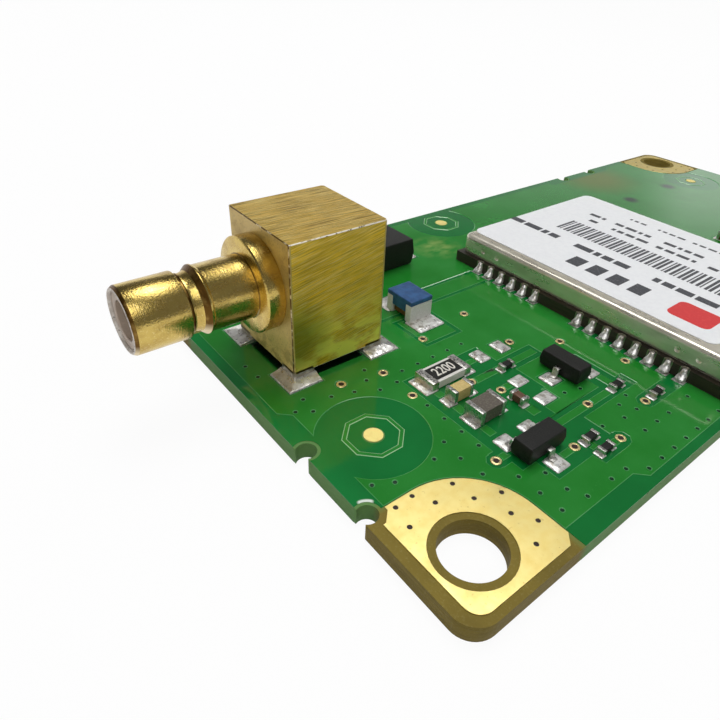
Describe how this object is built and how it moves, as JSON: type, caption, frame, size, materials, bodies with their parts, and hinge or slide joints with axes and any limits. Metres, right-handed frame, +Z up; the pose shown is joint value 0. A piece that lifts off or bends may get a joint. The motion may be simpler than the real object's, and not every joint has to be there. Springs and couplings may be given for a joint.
{
  "type": "gps module",
  "caption": "Satellite receiver board: shielded receiver module, right-angle gold antenna connector, corner mounting holes and a host pin connector.",
  "frame": {"origin": "middle of the board's underside", "axes": "+X along the board's length, away from the antenna connector; +Z up, out of the side with the parts"},
  "size_m": [0.0708, 0.0318, 0.0095],
  "materials": {
    "laminate": "bare glass-fibre laminate at the edges, green mask on the faces",
    "covered_copper": "glossy green mask over copper",
    "gold": "thin gold on copper, satin",
    "tin": "bright tinned copper",
    "solder": "bright solder",
    "connector_gold": "gold-plated brass, milled and turned marks",
    "insulator_white": "white insulator, satin",
    "substrate": "dark laminate edge",
    "shield": "plated sheet, satin",
    "label_white": "white paper label",
    "black_moulding": "black moulded plastic, fine grain",
    "crystal_can": "gold-coloured lid, satin",
    "ceramic_white": "white ceramic",
    "ceramic_tan": "tan ceramic",
    "ceramic_grey": "grey ceramic",
    "ceramic_brown": "brown ceramic",
    "wire": "enamelled copper wire",
    "blue_cap": "blue resin, glossy"
  },
  "bodies": {
    "root": {"circuit_board": "laminate", "covered_copper": "covered_copper", "corner_ground_pads": "gold", "locating_dots": "gold", "via_rings": "gold", "small_part_lands": "tin", "connector_lands": "tin", "module_lands": "tin", "connector_block": "connector_gold", "connector_barrel": "connector_gold", "connector_insulator": "insulator_white", "connector_stem_insulator": "insulator_white", "connector_centre_pin": "gold", "connector_rear_cap": "connector_gold", "connector_solder": "solder", "receiver_substrate": "substrate", "receiver_terminals": "tin", "receiver_solder": "solder", "shield_frame": "shield", "shield_lid": "shield", "receiver_label": "label_white", "receiver_chip": "black_moulding", "antenna_filter": "crystal_can", "signal_amplifier": "black_moulding", "reference_crystal": "crystal_can", "clock_crystal": "crystal_can", "memory_chip": "black_moulding", "inner_capacitors": "ceramic_tan", "surge_diode_body": "black_moulding", "surge_diode_leads": "tin", "choke_core": "ceramic_white", "choke_winding": "wire", "choke_cap": "blue_cap", "resistor_body": "ceramic_white", "resistor_ends": "tin", "resistor_coat": "black_moulding", "tan_capacitor_body": "ceramic_tan", "tan_capacitor_ends": "tin", "grey_capacitor_body": "ceramic_grey", "grey_capacitor_ends": "tin", "brown_capacitor_bodies": "ceramic_brown", "small_resistor_bodies": "black_moulding", "small_chip_ends": "tin", "transistor_bodies": "black_moulding", "transistor_leads": "tin", "host_connector_body": "black_moulding", "host_connector_pins": "gold"}
  },
  "joints": []
}
